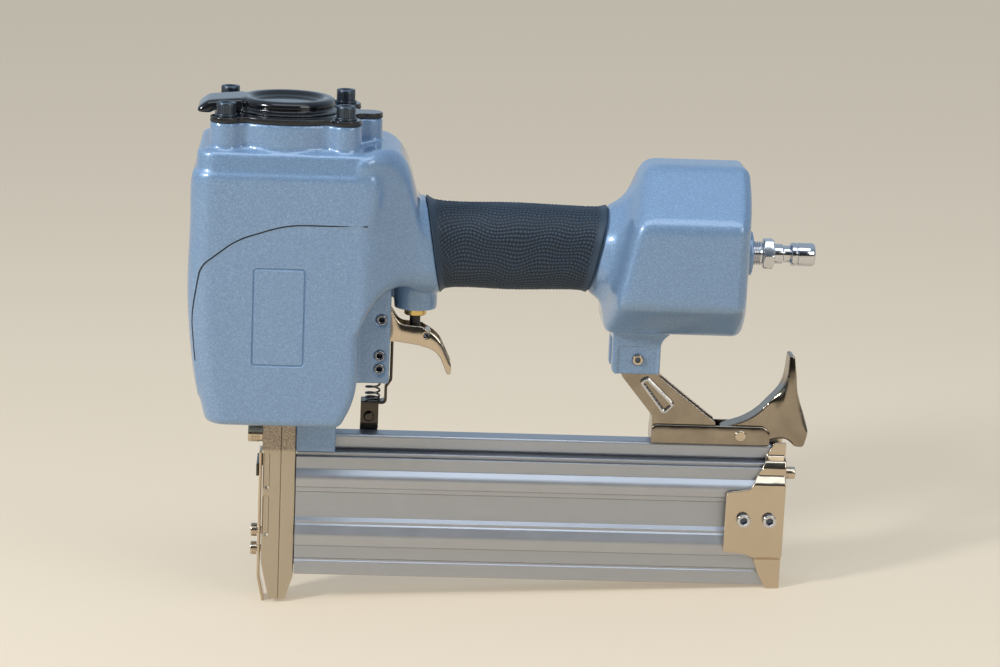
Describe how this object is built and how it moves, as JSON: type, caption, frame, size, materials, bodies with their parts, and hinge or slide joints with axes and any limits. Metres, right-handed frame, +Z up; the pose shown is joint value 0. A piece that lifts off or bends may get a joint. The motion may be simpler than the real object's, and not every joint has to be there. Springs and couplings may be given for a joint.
{
  "type": "pneumatic concrete nailer",
  "caption": "Air nailer with an upright driver housing, rubber-covered handle, octagonal rear tank and a slide-back nail magazine under the handle, with trigger and contact safety.",
  "frame": {"origin": "where the nail leaves the nose, on the driver axis at the level of the nose tip", "axes": "+Z up the driver axis to the cap, +X to the rear along handle and magazine, +Y to the side away from the badge"},
  "size_m": [0.337, 0.086, 0.2788],
  "materials": {
    "hammertone": "hammertone paint over die-cast aluminium",
    "black_enamel": "gloss black enamel over die-cast aluminium",
    "grip_rubber": "matt, pebbled",
    "seal_rubber": "smooth",
    "plated_steel": "nickel plated",
    "black_steel": "black oxide",
    "spring_steel": "oiled spring wire",
    "anodised": "satin anodised extrusion",
    "machined": "machined",
    "brass": "turned",
    "chrome": "bright chrome",
    "black_plastic": "moulded"
  },
  "bodies": {
    "tool_body": {"body_casting": "hammertone", "rear_tank": "hammertone", "cylinder_cap": "black_enamel", "exhaust_hood": "black_enamel", "handle_grip": "grip_rubber", "tank_seal": "seal_rubber", "cap_gasket": "seal_rubber", "cylinder_seals": "seal_rubber", "piston_bumper": "seal_rubber", "nose_guide": "plated_steel", "nose_cover": "plated_steel", "support_arm": "plated_steel", "latch_bracket": "plated_steel", "latch_pin": "plated_steel", "lug_screw": "plated_steel", "nose_screws": "plated_steel", "nose_washers": "plated_steel", "strip_screws": "plated_steel", "trigger_pin": "plated_steel", "guide_pins": "plated_steel", "cap_screws": "black_steel", "cap_washers": "black_steel", "hood_screw": "black_steel", "safety_spring": "spring_steel", "valve_spring": "spring_steel", "head_valve_spring": "spring_steel", "latch_spring": "spring_steel", "magazine_rail": "anodised", "nail_guides": "anodised", "cylinder_sleeve": "machined", "valve_bushing": "brass", "valve_cap": "brass", "air_plug": "chrome", "guide_block": "black_plastic"},
    "piston": {"main_piston": "machined", "piston_seal": "seal_rubber", "driver_blade": "plated_steel"},
    "head_valve_body": {"head_valve": "black_plastic", "head_valve_seal": "seal_rubber"},
    "trigger_lever": {"trigger": "plated_steel", "idler_pin": "plated_steel"},
    "idler": {"trigger_idler": "plated_steel"},
    "stem": {"valve_stem": "black_plastic"},
    "safety": {"contact_foot": "plated_steel", "safety_link": "plated_steel", "safety_arm": "plated_steel", "link_screw": "plated_steel"},
    "magazine": {"magazine_body": "anodised", "tail_bracket": "plated_steel", "tail_screws": "plated_steel", "tail_stop_screw": "plated_steel", "pusher_spring": "spring_steel"},
    "pusher": {"nail_pusher": "plated_steel"},
    "latch": {"latch_lever": "plated_steel"}
  },
  "joints": [
    {"name": "piston_stroke", "type": "slide", "parent": "tool_body", "child": "piston", "axis": [0, 0, -1], "range_m": [0, 0.088]},
    {"name": "head_valve_lift", "type": "slide", "parent": "tool_body", "child": "head_valve_body", "axis": [0, 0, 1], "range_m": [0, 0.007], "stiffness_N_per_m": 900, "springref_m": -0.004, "deforming": ["head_valve_spring"]},
    {"name": "trigger_pull", "type": "hinge", "parent": "tool_body", "child": "trigger_lever", "pos_m": [0.0534, 0, 0.1593], "axis": [0, -1, 0], "range_deg": [0, 7], "stiffness_Nm_per_rad": 0.3, "springref_deg": -11.46},
    {"name": "valve_stem_lift", "type": "slide", "parent": "tool_body", "child": "stem", "axis": [0, 0, 1], "range_m": [0, 0.002], "deforming": ["valve_spring"]},
    {"name": "safety_slide", "type": "slide", "parent": "tool_body", "child": "safety", "axis": [0, 0, 1], "range_m": [0, 0.0025], "stiffness_N_per_m": 600, "springref_m": -0.01, "deforming": ["safety_spring"]},
    {"name": "idler_tilt", "type": "hinge", "parent": "trigger_lever", "child": "idler", "pos_m": [0.0778, 0, 0.1497], "axis": [0, 1, 0], "range_deg": [0, 7.86]},
    {"name": "magazine_slide", "type": "slide", "parent": "tool_body", "child": "magazine", "axis": [1, 0, 0], "range_m": [0, 0.2]},
    {"name": "pusher_slide", "type": "slide", "parent": "magazine", "child": "pusher", "axis": [1, 0, 0], "range_m": [0, 0.18], "stiffness_N_per_m": 40, "springref_m": -0.2, "deforming": ["pusher_spring"]},
    {"name": "latch_lift", "type": "hinge", "parent": "tool_body", "child": "latch", "pos_m": [0.2507, 0, 0.0988], "axis": [0, -1, 0], "range_deg": [0, 18], "stiffness_Nm_per_rad": 0.2, "springref_deg": -34.38}
  ],
  "couplings": [
    {"joint": "valve_stem_lift", "follows": "trigger_pull", "m_per_rad": 0.0163},
    {"joint": "idler_tilt", "follows": "safety_slide", "rad_per_m": 54.9}
  ]
}
